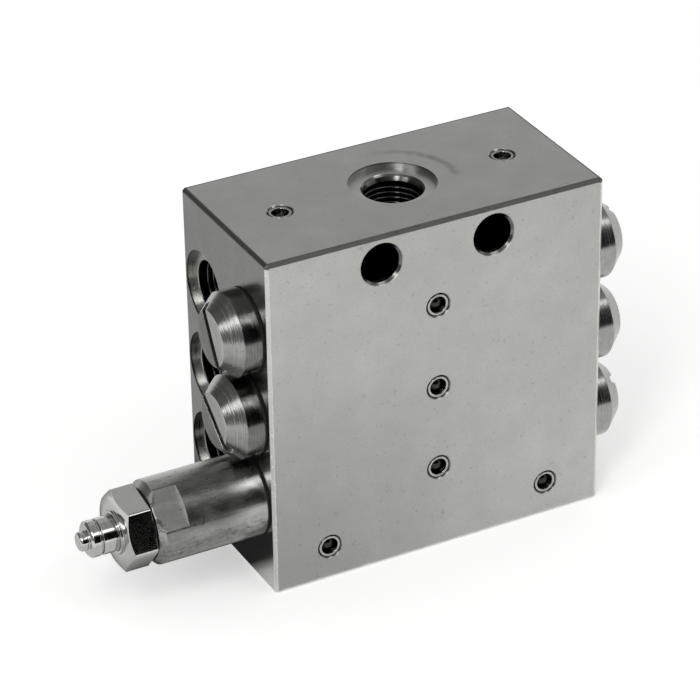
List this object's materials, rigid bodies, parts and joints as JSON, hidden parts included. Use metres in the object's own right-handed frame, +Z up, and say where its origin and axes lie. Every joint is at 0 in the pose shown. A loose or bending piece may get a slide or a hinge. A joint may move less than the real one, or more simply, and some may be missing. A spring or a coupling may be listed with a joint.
{
  "type": "lubricant divider block",
  "caption": "Steel progressive lubricant divider block with a threaded inlet on top, side outlets, slotted piston bore plugs and a sliding stroke indicator pin.",
  "frame": {"origin": "centre of the block's bottom face", "axes": "+Z up, out of the inlet; +X along the pistons, away from the indicator; +Y from the front face to the back face"},
  "size_m": [0.0963, 0.03, 0.06],
  "materials": {
    "block_steel": "ground and zinc plated, satin, light grey",
    "plug_steel": "turned, bright, with fine turning rings",
    "housing_steel": "plated, mottled, streaked along its length",
    "gland_steel": "plated, smooth, satin",
    "pin_steel": "turned and polished",
    "piston_steel": "hardened and ground",
    "sleeve_steel": "bright turned steel",
    "ball_steel": "polished hardened steel",
    "seal": "matt black rubber"
  },
  "bodies": {
    "root": {"block": "block_steel", "end_plug_left_top": "plug_steel", "end_plug_left_middle": "plug_steel", "end_plug_right_top": "plug_steel", "end_plug_right_middle": "plug_steel", "end_plug_right_bottom": "plug_steel", "seal_ring_left_bottom": "seal", "seal_ring_left_middle": "seal", "seal_ring_left_top": "seal", "seal_ring_right_bottom": "seal", "seal_ring_right_middle": "seal", "seal_ring_right_top": "seal", "indicator_housing": "housing_steel", "rod_seal": "seal", "gland_ring": "seal", "indicator_gland": "gland_steel", "sleeve_front_bottom": "sleeve_steel", "ball_front_bottom": "ball_steel", "sleeve_front_middle": "sleeve_steel", "ball_front_middle": "ball_steel", "sleeve_front_top": "sleeve_steel", "ball_front_top": "ball_steel", "sleeve_front_foot_left": "sleeve_steel", "ball_front_foot_left": "ball_steel", "sleeve_front_foot_right": "sleeve_steel", "ball_front_foot_right": "ball_steel", "sleeve_top_left": "sleeve_steel", "ball_top_left": "ball_steel", "sleeve_top_right": "sleeve_steel", "ball_top_right": "ball_steel"},
    "piston_top": {"piston_top": "piston_steel"},
    "piston_middle": {"piston_middle": "piston_steel"},
    "piston_bottom": {"piston_bottom": "piston_steel", "indicator_pin": "pin_steel"}
  },
  "joints": [
    {"name": "piston_top_slide", "type": "slide", "parent": "root", "child": "piston_top", "axis": [-1, 0, 0], "range_m": [0, 0.0052]},
    {"name": "piston_middle_slide", "type": "slide", "parent": "root", "child": "piston_middle", "axis": [-1, 0, 0], "range_m": [0, 0.0052]},
    {"name": "piston_bottom_slide", "type": "slide", "parent": "root", "child": "piston_bottom", "axis": [-1, 0, 0], "range_m": [0, 0.0052]}
  ]
}
